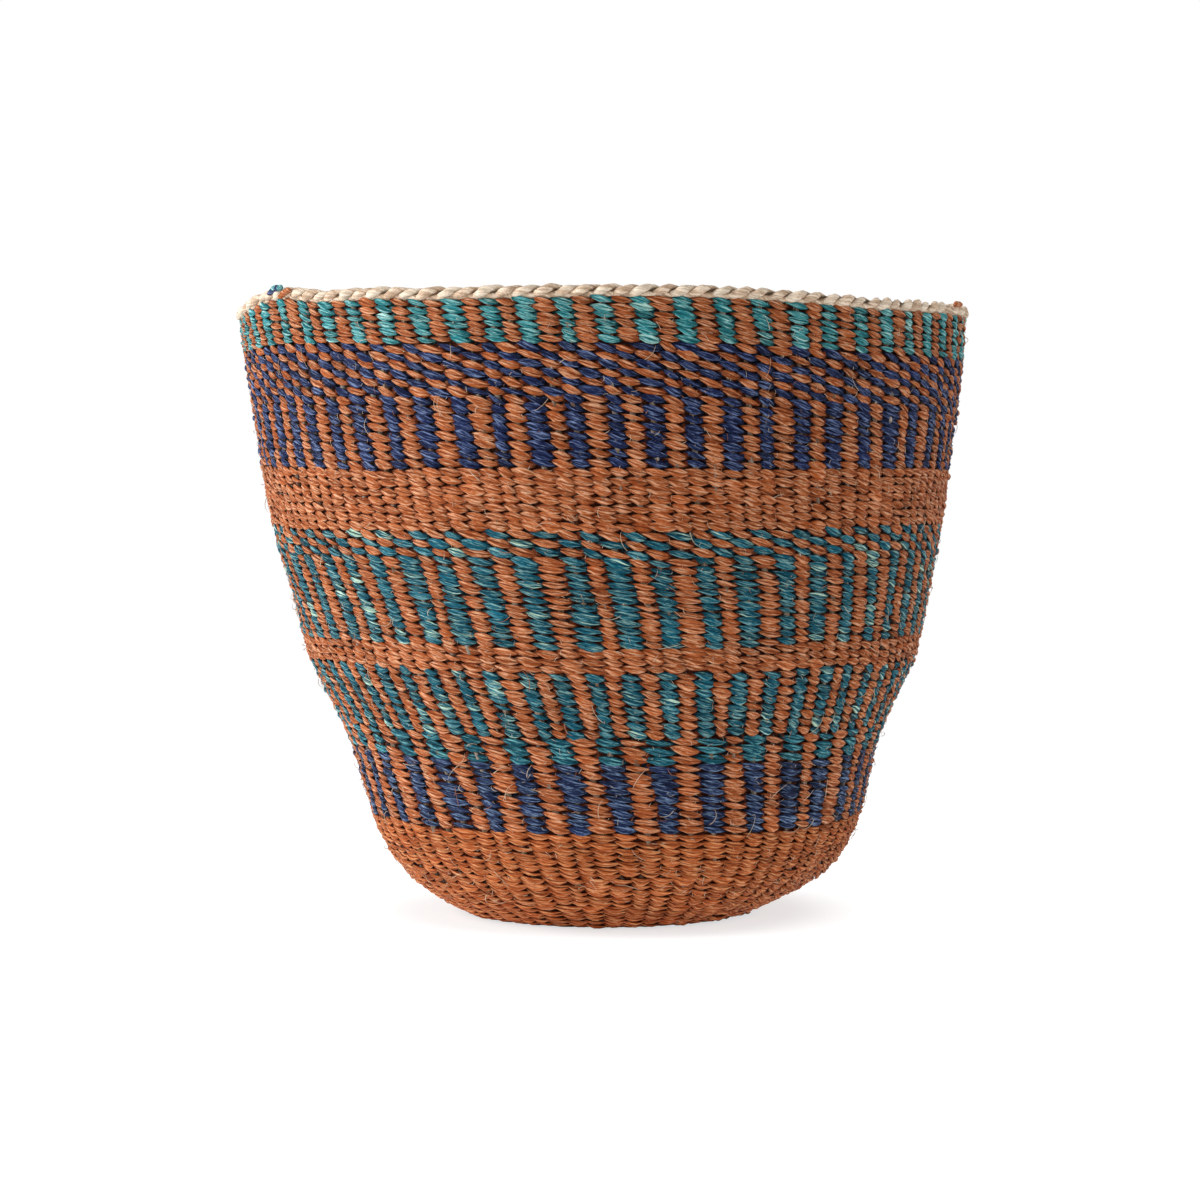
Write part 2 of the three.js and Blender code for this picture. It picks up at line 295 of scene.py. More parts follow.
columnEdges = {}
for setName, columns in columnSets.items():
    edges = 2 * columns["pairs"]
    columnEdges[setName] = {
        "shift": random.normal(0, uneven["edge"], edges) * math.pi / columns["pairs"],
        "sway": random.normal(0, uneven["sway"], edges) * math.pi / columns["pairs"],
        "phase": random.uniform(0, 2 * math.pi, edges),
    }


# The angle of the edge before each column, at a length along the profile
def edgeAngles(setName, length, index):
    columns = columnSets[setName]
    edge = columnEdges[setName]
    start = lengthAtHeight(columns["height"])
    lean = math.tan(math.radians(columns["lean"])) * (start - length) / onProfile(start, "radius")
    turn = math.radians(columns["middle"]) + (index - 0.5) * math.pi / columns["pairs"]
    crowd = columns.get("crowd", [(-180, 0), (180, 0)])
    shift = np.radians(smoothThrough(crowd, (np.degrees(turn) + 180) % 360 - 180))
    index = index % len(edge["shift"])
    swing = np.sin(length / uneven["swayLength"] + edge["phase"][index])
    sway = edge["shift"][index] + edge["sway"][index] * swing
    return turn + lean + shift + sway


# How far the courses run up and down, as hands lay them
def courseWander(angle, length):
    top = lengthAtHeight(wallTop)
    fade = smoothStep(length, footLength, footLength + waveFades["wanderAtFoot"])
    fade = fade * (1 - smoothStep(length, top - waveFades["wanderAtRim"], top))
    return fade * waveSum(wanderWaves, angle, length)


# The courses between two lengths: their pitch, and each stitch's course, column and length
def courseGrid(start, end, courses, columns):
    pitch = (end - start) / courses
    course, column = np.meshgrid(np.arange(courses), np.arange(columns), indexing="ij")
    course, column = course.ravel(), column.ravel()
    return pitch, course, column, start + (course + 0.5) * pitch


# The places and sizes of stitches, as flat arrays
def stitchField(length, angle, course, coloured, half, pitch, weave):
    count = len(length)
    return {
        "length": length + random.normal(0, uneven["course"], count),
        "angle": angle,
        "course": course,
        "coloured": np.broadcast_to(coloured, count),
        "half": np.broadcast_to(half, count),
        "high": np.full(count, pitch / 2),
        "pack": np.full(count, weave.get("pack", usualPack)),
        "slope": np.full(count, pitch * weave["slope"]),
        "sag": np.full(count, pitch * weave.get("sag", usualSag)),
    }


def bandField(bandName):
    band = bands[bandName]
    columns = band["columns"]
    start, end = bandSpan(bandName)
    grid = courseGrid(start, end, band["courses"], 2 * columnSets[columns]["pairs"])
    pitch, course, column, length = grid
    before = edgeAngles(columns, length, column)
    after = edgeAngles(columns, length, column + 1)
    after = after + 2 * math.pi * (after < before)
    angle = (before + after) / 2
    checker = (column + course) % 2 == 0 if band.get("dashes") else column % 2 == 0
    coloured = checker & (band["dye"] is not None)
    laid = length + courseWander(angle, length)
    return stitchField(laid, angle, course, coloured, (after - before) / 2, pitch, band)


# The flat base: rings of courses from one radius to another, with more columns as they widen. A
# course is so many millimetres wide, and turns its columns by so many radians.
baseZones = [(12.0, 21.0, 16), (21.0, 36.0, 28), (36.0, 53.5, 42)]
baseWeave = {"course": 3.3, "turn": 0.03, "slope": 0.36, "sag": 0.0}


def baseField(inner, outer, columns):
    courses = round((outer - inner) / baseWeave["course"])
    pitch, course, column, length = courseGrid(inner, outer, courses, columns)
    angle = column * 2 * math.pi / columns - course * baseWeave["turn"]
    return stitchField(length, angle, course, False, math.pi / columns, pitch, baseWeave)


def pickStitches(field, chosen):
    return {key: value[chosen] for key, value in field.items()}


# The yarns: the dye, a paler dye, how much the dye varies between stitches, how much of the yarn
# the paler one takes in streaks, and how far it bleaches the lightest fibres
dyes = table("dye pale vary streaks bleached", {
    "terracotta": ((0.715, 0.418, 0.24), (0.86, 0.7, 0.575), 0.1, 0.06, 0.75),
    "earth": ((0.722, 0.41, 0.222), (0.84, 0.65, 0.47), 0.1, 0.05, 0.65),
    "navy": ((0.145, 0.195, 0.355), (0.5, 0.57, 0.72), 0.14, 0.11, 0.75),
    "duskNavy": ((0.155, 0.21, 0.355), (0.52, 0.62, 0.74), 0.14, 0.15, 0.75),
    "brightTeal": ((0.225, 0.565, 0.59), (0.78, 0.92, 0.88), 0.14, 0.19, 0.6),
    "deepTeal": ((0.11, 0.385, 0.45), (0.55, 0.8, 0.8), 0.13, 0.13, 0.6),
    "seaTeal": ((0.08, 0.4, 0.475), (0.8, 0.91, 0.82), 0.14, 0.19, 0.38),
    "natural": ((0.86, 0.755, 0.655), (0.94, 0.88, 0.8), 0.06, 0.25, 0.8),
    "warp": ((0.84, 0.74, 0.655), (0.95, 0.92, 0.88), 0.08, 0.3, 0.9),
})

# How the dye drifts along the yarn, in waves of a swing, a rate and a start, and how much of the
# variation and the streaks follows that drift or is each stitch's own
dyeing = {
    "waves": [(0.5, 9.1, 1.3), (0.5, 23.7, 0.4)],
    "starts": (0, 9),
    "drift": 0.6,
    "own": 0.8,
    "limits": (0.5, 1.5),
    "streaks": 0.7,
    "streakDrift": 0.5,
    "streakOwn": 0.5,
}


# A colour as the light values that Blender mixes
def linear(colour):
    colour = np.asarray(colour, float)
    return np.where(colour <= 0.04045, colour / 12.92, ((colour + 0.055) / 1.055) ** 2.4)


# Each copy's dye and share of pale streaks, which drift along the yarn
def yarnDye(dyeName, count, walk):
    yarn = dyes[dyeName]
    drift = sum(swing * np.sin(walk * rate + start) for swing, rate, start in dyeing["waves"])
    bright = 1 + yarn["vary"] * (dyeing["drift"] * drift + random.normal(0, dyeing["own"], count))
    colour = linear(yarn["dye"])[None, :] * np.clip(bright, *dyeing["limits"])[:, None]
    share = dyeing["streaks"] + dyeing["streakDrift"] * drift
    streaks = yarn["streaks"] * (share + random.normal(0, dyeing["streakOwn"], count))
    return colour, np.clip(streaks, 0, 1)


poleEnd = 0.9999  # beyond this share of a round form's length lie its poles
tileMargin = 0.05  # the clear edge of each copy's tile of the unwrapping


# A closed round form from Blender's sphere: each corner's ring, its angle round the form, and
# where each face lies when the form is unrolled.
def roundUnit(sides, rings):
    shape = bmesh.new()
    bmesh.ops.create_uvsphere(shape, u_segments=sides, v_segments=rings + 1, radius=1)
    bmesh.ops.recalc_face_normals(shape, faces=shape.faces)
    corners = np.array([vertex.co[:] for vertex in shape.verts])
    faces = {3: [], 4: []}
    for face in shape.faces:
        faces[len(face.verts)].append([vertex.index for vertex in face.verts])
    shape.free()
    ring = np.rint(np.arccos(np.clip(-corners[:, 2], -1, 1)) / math.pi * (rings + 1)).astype(int)
    turn = np.arctan2(corners[:, 1], corners[:, 0])
    unit = {"ring": ring, "along": 2 * ring / (rings + 1) - 1, "turn": turn, "size": len(ring)}
    for corner, picked in faces.items():
        picked = np.array(picked)
        pole = np.abs(unit["along"][picked]) > poleEnd
        spread = np.exp(1j * turn[picked]) * ~pole
        middle = np.angle(spread.sum(axis=1, keepdims=True)) % (2 * math.pi)
        near = middle + np.mod(turn[picked] - middle + math.pi, 2 * math.pi) - math.pi
        near = np.where(pole, middle, near)
        tile = np.stack([(unit["along"][picked] + 1) / 2, near / (2 * math.pi)], axis=-1)
        unit[corner] = picked
        unit["tile", corner] = tileMargin + (1 - 2 * tileMargin) * np.clip(tile, 0, 1)
    return unit


# Copies of a round form for yarnMesh: their points in millimetres, the lay of their fibres, how
# deep in the weave their painted shade is set, and their dye and streaks
def yarnPart(unit, points, lays, depths, dyed):
    return {
        "unit": unit,
        "points": points,
        "lays": lays,
        "depths": np.broadcast_to(depths, points.shape[:2]),
        "colours": dyed[0],
        "streaks": dyed[1],
        "strands": random.uniform(0, 1, len(points)),
    }


def newObject(name, data):
    made = bpy.data.objects.new(name, data)
    bpy.context.scene.collection.objects.link(made)
    return made


# One mesh object from many copies of round forms, with what the yarn material reads. Each copy
# has a tile of the unwrapping to itself.
def yarnMesh(name, parts):
    perRow = math.ceil(math.sqrt(sum(len(part["points"]) for part in parts)))
    faces, tiles = {3: [], 4: []}, {3: [], 4: []}
    offset, placed = 0, 0
    for part in parts:
        unit, count = part["unit"], len(part["points"])
        first = offset + np.arange(count) * unit["size"]
        cell = placed + np.arange(count)
        origin = np.stack([cell % perRow, cell // perRow], axis=-1)
        for corner in (3, 4):
            faces[corner].append((first[:, None, None] + unit[corner]).reshape(-1, corner))
            tile = origin[:, None, None, :] + unit["tile", corner]
            tiles[corner].append((tile / perRow).reshape(-1, 2))
        offset += count * unit["size"]
        placed += count
    faces = {corner: np.concatenate(found) for corner, found in faces.items()}
    uvs = np.concatenate(tiles[3] + tiles[4])

    def spread(key):
        values = [np.repeat(part[key], part["unit"]["size"], axis=0) for part in parts]
        return np.concatenate(values)

    points = np.concatenate([part["points"].reshape(-1, 3) for part in parts])
    lays = np.concatenate([part["lays"].reshape(-1, 3) for part in parts])
    depths = np.concatenate([part["depths"].reshape(-1) for part in parts])
    colours = spread("colours")
    # The look attribute carries the streaks, the depth of the painted shade and a number for each
    # copy
    looks = np.column_stack([spread("streaks"), depths, spread("strands")])

    mesh = bpy.data.meshes.new(name)
    sizes = np.concatenate([np.full(len(faces[corner]), corner) for corner in (3, 4)])
    loops = np.concatenate([faces[3].ravel(), faces[4].ravel()])
    mesh.vertices.add(len(points))
    mesh.vertices.foreach_set("co", (points * millimetre).astype(np.float32).ravel())
    mesh.loops.add(len(loops))
    mesh.loops.foreach_set("vertex_index", loops.astype(np.int32))
    mesh.polygons.add(len(sizes))
    mesh.polygons.foreach_set("loop_start", (np.cumsum(sizes) - sizes).astype(np.int32))
    mesh.update(calc_edges=True)
    mesh.shade_smooth()
    mesh.uv_layers.new(name="OFBake").data.foreach_set("uv", uvs.astype(np.float32).ravel())
    for key, values in (("lay", lays), ("dye", colours), ("look", looks)):
        attribute = mesh.attributes.new(key, "FLOAT_VECTOR", "POINT")
        attribute.data.foreach_set("vector", values.astype(np.float32).ravel())
    piece = newObject(name, mesh)
    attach(piece, "root")
    return piece


# The stitch that shows over a warp, outside and inside: its plies, its length and height as shares
# of its column and course, how pointed and blunt its ends are, its depth and the stand of its
# middle and tips, how far apart, thick and twisted its plies are, the painted shade in the groove
# between them, and how far the base's stitches are pressed down
stitchUnit = roundUnit(6, 4)
stitchShapes = {
    "plies": (2, 1),
    "long": (1.5, 1.2),
    "high": (1.1, 1.18),
    "point": (1.5, 4.0),
    "blunt": (1.0, 0.4),
    "depth": (1.2, 1.3),
    "rise": (1.5, 1.2),
    "tip": (0.5, -0.4),
    "apart": (0.5, 0.0),
    "thick": (0.56, 1.0),
    "twist": (0.7, 1.5),
    "groove": (1.0, 0.4),
    "pressed": (1.35, 0.0),
}

# How every stitch lies: how much the packing lengthens it, the power of its bow over the warp, the
# share of its sag that lifts its tips, the fibres' turn along a ply, the dye's drift from course to
# course, where past the flat underside the pressing fades, and the least radius it is laid out for
stitching = {
    "packLong": 0.45,
    "bow": 2.2,
    "tipLift": 0.6,
    "plyTurn": 0.8,
    "courseDrift": 2.7,
    "pressFades": (3.0, 16.0),
    "leastRadius": 8.0,
}


def layRadius(field):
    return np.maximum(onProfile(field["length"], "radius"), stitching["leastRadius"])[:, None]


# The copies of one colour on one side of the wall, outside 1 or inside -1: a part for each ply
def stitchParts(field, side, dyeName):
    shape = {key: pair[side < 0] for key, pair in stitchShapes.items()}
    unit = stitchUnit
    count = len(field["length"])

    def loose(key):
        return random.normal(0, uneven[key], count)[:, None]

    along, turn = unit["along"][None, :], unit["turn"][None, :]
    pack = field["pack"][:, None]
    packLong = 1 + stitching["packLong"] * (pack - 1)
    full = np.clip(1 - np.abs(along) ** shape["point"], 0, 1) ** shape["blunt"]
    bow = 1 - np.abs(along) ** stitching["bow"]
    rise = shape["rise"] + loose("stand")
    fadeFrom, fadeTo = stitching["pressFades"]
    atFoot = 1 - smoothStep(field["length"], footLength + fadeFrom, footLength + fadeTo)[:, None]
    depth = shape["depth"] * full * (1 + loose("high"))
    high = field["high"][:, None] * pack * shape["high"] * full * (1 + loose("high"))
    reach = field["half"][:, None] * packLong * shape["long"] * (1 + loose("long"))
    slope = field["slope"][:, None] * (1 + loose("slope"))
    sag = field["sag"][:, None] + loose("sag")
    spin = loose("spin") + shape["twist"] * along
    angle = field["angle"][:, None] + side * along * reach
    radius = layRadius(field)
    walk = field["course"] * stitching["courseDrift"] + field["angle"]
    dyed = yarnDye(dyeName, count, walk)
    parts = []
    for ply in range(shape["plies"]):
        turned = spin + ply * math.pi
        upward = high * (shape["apart"] * np.cos(turned) + shape["thick"] * np.cos(turn))
        outward = depth * (shape["apart"] * np.sin(turned) + shape["thick"] * np.sin(turn))
        proud = shape["tip"] + (rise - shape["tip"]) * bow + outward
        stand = proud + shape["pressed"] * atFoot
        lay = turn + random.uniform(0, 2 * math.pi, count)[:, None] - stitching["plyTurn"] * along
        sagged = field["length"][:, None] - slope * along - sag * (bow - stitching["tipLift"])
        points = placeOnWall(sagged + upward, angle, side * stand)
        lays = np.stack([along * reach * radius, np.cos(lay), np.sin(lay)], axis=-1)
        # Painted shade: darker deep in the weave and down the sides of each ply, in the grooves
        depths = proud - shape["groove"] * (1 - np.sin(turn))
        parts.append(yarnPart(unit, points, lays, depths, dyed))
    return parts


# Between two warps the yarns cross from one side of the wall to the other: the height is a share
# of the course, and "depth" is how deep in the weave its painted shade is set
crossing = {"unit": roundUnit(5, 2), "wide": 1.9, "high": 1.2, "deep": 1.5, "depth": 0.2}


def crossingPart(field, dyeName):
    unit = crossing["unit"]
    around = np.sqrt(1 - unit["along"] ** 2)[None, :]
    upward = field["high"][:, None] * crossing["high"] * unit["along"][None, :]
    sideways = crossing["wide"] * around * np.cos(unit["turn"])[None, :] / layRadius(field)
    proud = crossing["deep"] * around * np.sin(unit["turn"])[None, :]
    angle = (field["angle"] + field["half"])[:, None] + sideways
    points = placeOnWall(field["length"][:, None] + upward, angle, proud)
    lays = np.stack(np.broadcast_arrays(sideways, upward, proud), axis=-1)
    colours, streaks = yarnDye(dyeName, len(points), field["angle"])
    return yarnPart(unit, points, lays, crossing["depth"], (colours, streaks * 0))


# The yarn's surface. Noise drawn out along the yarn makes its fibres and its clumps of fibres, and
# pairs are the noise's values between which they go from dark to light, bleached or streaked. Yarn
# deep in the weave gets painted shade, up to the stand where it is fully lit, and where the yarn is
# painted darker its dye is painted richer.
yarnLook = {
    "roughness": 0.62,
    "roughnessSwing": 0.14,
    "roughnessNoise": (0.3, 0.7),
    "sheen": 0.03,
    "sheenRoughness": 0.5,
    "specular": 0.07,
    "fibreStretch": (0.17, 1.5, 1.5),
    "fibreDetail": 3.0,
    "clumpStretch": (0.07, 0.9, 0.9),
    "clumpDetail": 1.0,
    "noiseRoughness": 0.7,
    "noiseSteps": (61.0, 17.0),
    "fibreNoise": (0.38, 0.6),
    "fibreShades": (0.62, 1.0),
    "bleachNoise": (0.5, 0.66),
    "streakNoise": (0.8, 0.94),
    "streakPale": 0.85,
    "richLight": (0.2, 0.9),
    "richness": 1.75,
    "fibreBump": 0.9,
    "bumpHeight": 0.4,
    "deepest": 0.2,
    "deepStand": (-0.6, 2.0),
}


def addNode(tree, kind, **values):
    node = tree.nodes.new(kind)
    for key, value in values.items():
        setattr(node, key, value)
    return node


# A Map Range node from one pair of values to another
def mapRange(tree, source, fromRange, toRange, smooth=False):
    node = addNode(tree, "ShaderNodeMapRange")
    if smooth:
        node.interpolation_type = "SMOOTHSTEP"
    node.inputs["From Min"].default_value, node.inputs["From Max"].default_value = fromRange
    node.inputs["To Min"].default_value, node.inputs["To Max"].default_value = toRange
    tree.links.new(source, node.inputs["Value"])
    return node.outputs["Result"]


# A Math node of two sockets or values
def mathNode(tree, operation, first, second):
    node = addNode(tree, "ShaderNodeMath", operation=operation)
    for place, value in enumerate((first, second)):
        if isinstance(value, float):
            node.inputs[place].default_value = value
        else:
            tree.links.new(value, node.inputs[place])
    return node.outputs[0]


# Dyed sisal: fibres that run with the yarn's twist, with painted shade deep in the weave
def yarnMaterial(name, yarn):
    material = bpy.data.materials.new(name)
    material.use_nodes = True
    tree = material.node_tree
    link = tree.links.new
    shader = tree.nodes["Principled BSDF"]
    shader.inputs["Sheen Weight"].default_value = yarnLook["sheen"]
    shader.inputs["Sheen Roughness"].default_value = yarnLook["sheenRoughness"]
    shader.inputs["Specular IOR Level"].default_value = yarnLook["specular"]
    lay, dye, look = (
        addNode(tree, "ShaderNodeAttribute", attribute_name=key).outputs["Vector"]
        for key in ("lay", "dye", "look")
    )
    looks = addNode(tree, "ShaderNodeSeparateXYZ")
    link(look, looks.inputs[0])
    streaks, depth, strand = looks.outputs

    # Noise drawn out along the yarn, at another place in it for each stitch
    apart = addNode(tree, "ShaderNodeCombineXYZ")
    for axis, step in zip("XY", yarnLook["noiseSteps"]):
        link(mathNode(tree, "MULTIPLY", strand, step), apart.inputs[axis])

    def drawnOut(stretch, detail):
        place = addNode(tree, "ShaderNodeVectorMath", operation="MULTIPLY_ADD")
        place.inputs[1].default_value = stretch
        link(lay, place.inputs[0])
        link(apart.outputs[0], place.inputs[2])
        noise = addNode(tree, "ShaderNodeTexNoise")
        noise.inputs["Scale"].default_value = 1.0
        noise.inputs["Detail"].default_value = detail
        noise.inputs["Roughness"].default_value = yarnLook["noiseRoughness"]
        link(place.outputs[0], noise.inputs["Vector"])
        return noise.outputs["Fac"]

    fibre = drawnOut(yarnLook["fibreStretch"], yarnLook["fibreDetail"])
    clumps = drawnOut(yarnLook["clumpStretch"], yarnLook["clumpDetail"])

    # The dye, bleached on some fibres and darker between them, with painted shade deep in the weave
    shadow = mapRange(tree, fibre, yarnLook["fibreNoise"], yarnLook["fibreShades"])
    deep = mapRange(tree, depth, yarnLook["deepStand"], (yarnLook["deepest"], 1.0), smooth=True)
    bleached = mapRange(tree, fibre, yarnLook["bleachNoise"], (0.0, yarn["bleached"]))
    clump = mathNode(tree, "ADD", clumps, streaks)
    streakRange = (0.0, yarnLook["streakPale"])
    streaked = mapRange(tree, clump, yarnLook["streakNoise"], streakRange, smooth=True)
    paleness = mathNode(tree, "MAXIMUM", bleached, streaked)
    paled = addNode(tree, "ShaderNodeMix", data_type="RGBA")
    paled.inputs["B"].default_value = (*linear(yarn["pale"]), 1)
    link(paleness, paled.inputs["Factor"])
    link(dye, paled.inputs["A"])
    # Where the fibres are darker and where painted shade falls, the dye is painted richer
    light = mathNode(tree, "MULTIPLY", shadow, deep)
    enriched = addNode(tree, "ShaderNodeGamma")
    link(paled.outputs["Result"], enriched.inputs["Color"])
    richness = mapRange(tree, light, yarnLook["richLight"], (yarnLook["richness"], 1.0))
    link(richness, enriched.inputs["Gamma"])
    shaded = addNode(tree, "ShaderNodeVectorMath", operation="SCALE")
    link(enriched.outputs["Color"], shaded.inputs[0])
    link(light, shaded.inputs["Scale"])
    link(shaded.outputs[0], shader.inputs["Base Color"])

    # Relief of the fibres
    bump = addNode(tree, "ShaderNodeBump")
    bump.inputs["Distance"].default_value = yarnLook["bumpHeight"] * millimetre
    link(mathNode(tree, "MULTIPLY", fibre, yarnLook["fibreBump"]), bump.inputs["Height"])
    link(bump.outputs["Normal"], shader.inputs["Normal"])
    swing = yarnLook["roughnessSwing"]
    rough = (yarnLook["roughness"] + swing, yarnLook["roughness"] - swing)
    roughness = mapRange(tree, fibre, yarnLook["roughnessNoise"], rough)
    link(roughness, shader.inputs["Roughness"])
    return material


materials = {name: yarnMaterial(name + "Yarn", yarn) for name, yarn in dyes.items()}
print("yarns made", len(materials), flush=True)


def buildPiece(name, parts, dyeName, *nodes):
    piece = yarnMesh(name, parts)
    piece.data.materials.append(materials[dyeName])
    if nodes:
        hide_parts(*nodes)
    print("made", piece.name, len(piece.data.polygons), "faces", flush=True)


# The bands' pieces: each has one colour of yarn, and stands in for one CAD node
coarseBands = ["lowerNavy", "coarseTeal"]
middleBands = ["middleTeal", "middleDash"]
upperBands = ["upperNavy", "upperDash"]
wallPieces = table("bands node coloured ground", {
    "top_terracotta": (["topTeal"], "top_ground_band", False),
    "top_teal": (["topTeal"], "top_teal_weft", True),
    "upper_terracotta": (upperBands, "upper_ground_band", False),
    "upper_navy": (upperBands, "upper_navy_weft", True),
    "wide_plain": (["widePlain"], "wide_plain_band", False),
    "middle_terracotta": (middleBands, "middle_ground_band", False),
    "middle_teal": (middleBands, "middle_teal_weft", True),
    "narrow_plain": (["narrowPlain"], "narrow_plain_band", False),
    "fine_terracotta": (["fineTeal"], "fine_ground_band", False),
    "fine_teal": (["fineTeal"], "fine_teal_weft", True),
    "coarse_terracotta": (coarseBands, "coarse_ground_band", False),
    "coarse_teal": (["coarseTeal"], "coarse_teal_weft", True),
    "lower_navy": (["lowerNavy"], "lower_navy_weft", True),
    "lower_plain": (list(plainStretches), "lower_plain_band", False, "earth"),
})
fields = {name: bandField(name) for name in bands}

# How oval the strands are, and the direction from which the turn round them is first measured
strandLay = {"oval": 0.1, "firstSide": (0.31, 0.17, 0.94)}


# Round strands along paths, all with as many points. The first and last point of each path are
# its tips. Strands laid round a middle path get painted shade near it.
def strandPart(paths, radii, dyeNames, sides, twist, depth=2.0, middle=None):
    paths = np.asarray(paths, float)
    count, steps, _ = paths.shape
    if isinstance(dyeNames, str):
        dyeNames = [dyeNames] * count
    unit = roundUnit(sides, steps - 2)
    tangent = np.gradient(paths, axis=1)
    tangent /= np.linalg.norm(tangent, axis=2, keepdims=True)
    side = np.zeros_like(tangent)
    side[:, 0] = np.cross(tangent[:, 0], strandLay["firstSide"])
    for i in range(1, steps):
        carried = side[:, i - 1]
        side[:, i] = carried - (carried * tangent[:, i]).sum(1, keepdims=True) * tangent[:, i]
    side /= np.linalg.norm(side, axis=2, keepdims=True)
    other = np.cross(tangent, side)
    strides = np.linalg.norm(np.diff(paths, axis=1), axis=2)
    run = np.concatenate([np.zeros((count, 1)), np.cumsum(strides, axis=1)], axis=1)
    ring = unit["ring"]
    turn = unit["turn"][None, :]
    lay = turn - twist * run[:, ring]
    reach = np.broadcast_to(radii, paths.shape[:2])[:, ring] * (np.abs(unit["along"]) < poleEnd)
    reach = (reach * (1 + strandLay["oval"] * np.cos(2 * lay)))[:, :, None]
    outwards = side[:, ring] * np.cos(turn)[:, :, None] + other[:, ring] * np.sin(turn)[:, :, None]
    points = paths[:, ring] + outwards * reach
    if middle is not None:
        # Painted shade near the middle path
        away = np.linalg.norm(points - middle[ring], axis=2)
        depth = (away - rim["darkWithin"]) * rim["clearing"]
    lays = np.stack([run[:, ring], np.cos(lay), np.sin(lay)], axis=-1)
    dyed = [yarnDye(dyeName, 1, random.uniform(*dyeing["starts"], 1)) for dyeName in dyeNames]
    return yarnPart(unit, points, lays, depth, [np.concatenate(found) for found in zip(*dyed)])


# The hidden middle of each course, where its yarns pass between the warps: its height as a share
# of the course, how deep it is, how deep its painted shade is set, and the run of its fibres over
# a radian
core = {"unit": roundUnit(4, 90), "high": 1.4, "deep": 0.4, "depth": -0.6, "run": 60.0}


# A flat ring of yarn inside the wall for each course of a band, dark with painted shade
def corePart(field, dyeName):
    unit = core["unit"]
    full = np.abs(unit["along"]) < poleEnd
    turn = math.pi * (unit["ring"] - 1) / (unit["ring"].max() - 2) * 2
    rings, heights = [], []
    for course in range(field["course"].max() + 1):
        ring = pickStitches(field, field["course"] == course)
        order = np.argsort(ring["angle"])
        length = np.interp(turn, ring["angle"][order], ring["length"][order], period=2 * math.pi)
        upward = core["high"] * ring["high"].mean() * np.cos(unit["turn"]) * full
        rings.append(placeOnWall(length + upward, turn, core["deep"] * np.sin(unit["turn"]) * full))
        heights.append(upward)
    points = np.array(rings)
    walk = random.uniform(*dyeing["starts"], len(points))
    colours, streaks = yarnDye(dyeName, len(points), walk)
    run = np.broadcast_to(turn * core["run"], points.shape[:2])
    lays = np.stack([run, np.array(heights), 0 * run], axis=-1)
    return yarnPart(unit, points, lays, core["depth"], (colours, streaks * 0))


# All stitches of one colour in some bands. The colours swap between outside and inside, as
# twining swaps them.
def buildWallPiece(name, piece):
    coloured = piece["coloured"]
    dyeName = bands[piece["bands"][0]]["dye"] if coloured else piece.get("ground", "terracotta")
    parts = []
    for bandName in piece["bands"]:
        field = fields[bandName]
        outside = field["coloured"] == coloured
        striped = bands[bandName]["dye"] is not None
        inside = ~outside if striped else outside
        parts += stitchParts(pickStitches(field, outside), 1, dyeName)
        parts += stitchParts(pickStitches(field, inside), -1, dyeName)
        if striped:
            parts.append(crossingPart(pickStitches(field, outside), dyeName))
        if not coloured:
            parts.append(corePart(field, dyeName))
    buildPiece(name, parts, dyeName, piece["node"])


for pieceName, wallPiece in wallPieces.items():
    buildWallPiece(pieceName, wallPiece)

baseParts = []
for zoneField in [baseField(*zone) for zone in baseZones]:
    baseParts += stitchParts(zoneField, 1, "earth") + stitchParts(zoneField, -1, "earth")
    baseParts.append(corePart(zoneField, "earth"))
buildPiece("base_rings", baseParts, "earth", "base_weave")


# The warps: upright strands from near the middle of the base up, and the share of the stitches in
# each band over which one bulges out
warps = {"radius": 1.2, "proud": 0.3, "from": 14.0, "points": 10, "sides": 6, "twist": 0.4}
warpShows = {
    "lowerPlain": 0.02,
    "lowerNavy": 0.02,
    "fineTeal": 0.02,
    "narrowPlain": 0.05,
    "middleTeal": 0.02,
    "middleDash": 0.06,
    "widePlain": 0.03,
    "upperNavy": 0.1,
    "upperDash": 0.08,
}

# A bulge, how its size varies, how far aside it lies, the stand from which its painted shade gets
# no lighter, and how much darker with painted shade and less streaked it is than the warp's yarn
bulge = {
    "wide": 0.95,
    "high": 1.5,
    "deep": 0.7,
    "proud": 1.15,
    "sizes": (0.7, 1.2),
    "aside": 0.35,
    "lit": 0.9,
    "shade": 0.52,
    "streaks": 0.5,
}


# The upright strands of a set of columns between two lengths along the profile
def warpPaths(setName, low, high, every=1):
    index = np.arange(0, 2 * columnSets[setName]["pairs"], every)[:, None]
    length = np.linspace(low, high, warps["points"])
    angle = (edgeAngles(setName, length, index) + edgeAngles(setName, length, index + 1)) / 2
    return placeOnWall(length, angle, warps["proud"])


# The places where a warp bulges out between two courses
def bulgePart():
    unit = stitchUnit
    shown = []
    for bandName, share in warpShows.items():
        field = fields[bandName]
        shown.append(pickStitches(field, random.uniform(0, 1, len(field["angle"])) < share))
    field = {key: np.concatenate([found[key] for found in shown]) for key in shown[0]}
    count = len(field["length"])
    size = random.uniform(*bulge["sizes"], (count, 1))
    around = np.sqrt(1 - unit["along"] ** 2)[None, :] * size
    upward = (field["length"] - field["high"])[:, None] + bulge["high"] * unit["along"] * size
    aside = random.normal(0, bulge["aside"], (count, 1))
    sideways = bulge["wide"] * around * np.cos(unit["turn"]) + aside
    proud = bulge["proud"] + bulge["deep"] * around * np.sin(unit["turn"])
    angle = field["angle"][:, None] + sideways / onProfile(field["length"], "radius")[:, None]
    colours, streaks = yarnDye("warp", count, field["angle"])
    # The bulge's colour takes painted shade, as it lies between the courses
    dyed = (colours * bulge["shade"], streaks * bulge["streaks"])
    lays = np.stack([upward, sideways, proud], axis=-1)
    depths = np.minimum(proud, bulge["lit"])
    return yarnPart(unit, placeOnWall(upward, angle, proud), lays, depths, dyed)


